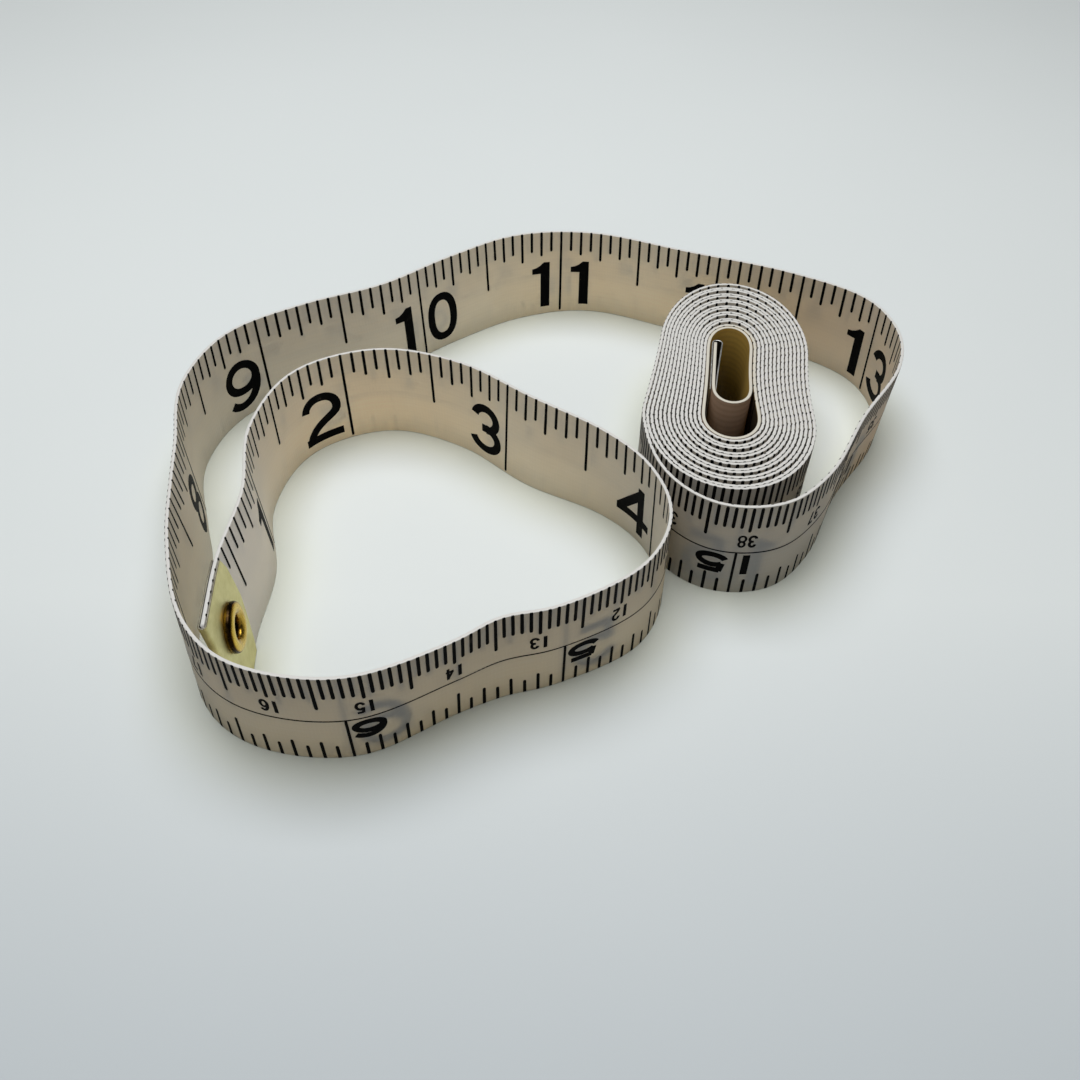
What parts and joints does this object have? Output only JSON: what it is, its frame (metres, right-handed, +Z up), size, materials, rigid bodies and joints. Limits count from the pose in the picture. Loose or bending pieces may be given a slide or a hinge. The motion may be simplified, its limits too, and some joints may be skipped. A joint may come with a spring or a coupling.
{
  "type": "cloth tape measure",
  "caption": "Limp coated-cloth measuring strip lying on edge in loose loops that run into a wound coil, with a folded sheet-metal tip at each end and a brass eyelet through the zero end.",
  "frame": {"origin": "on the table, under the middle of the object's box", "axes": "+Z up from the table, across the strip's width; +X to the right of the picture, from the loose loops towards the coil; +Y away from the viewer"},
  "size_m": [0.0979, 0.0857, 0.015],
  "materials": {
    "tape_cloth": "cream cloth with a smooth satin coating, printed with a black scale on both faces",
    "tip_brass": "thin pale-yellow plated sheet, satin, lightly scuffed",
    "eyelet_brass": "rolled brass, bright and slightly tarnished",
    "end_tip_metal": "thin plated sheet, satin"
  },
  "bodies": {
    "root": {"tape_free_run": "tape_cloth", "tape_coil": "tape_cloth", "start_tip": "tip_brass", "eyelet": "eyelet_brass", "end_tip": "end_tip_metal"}
  },
  "joints": []
}
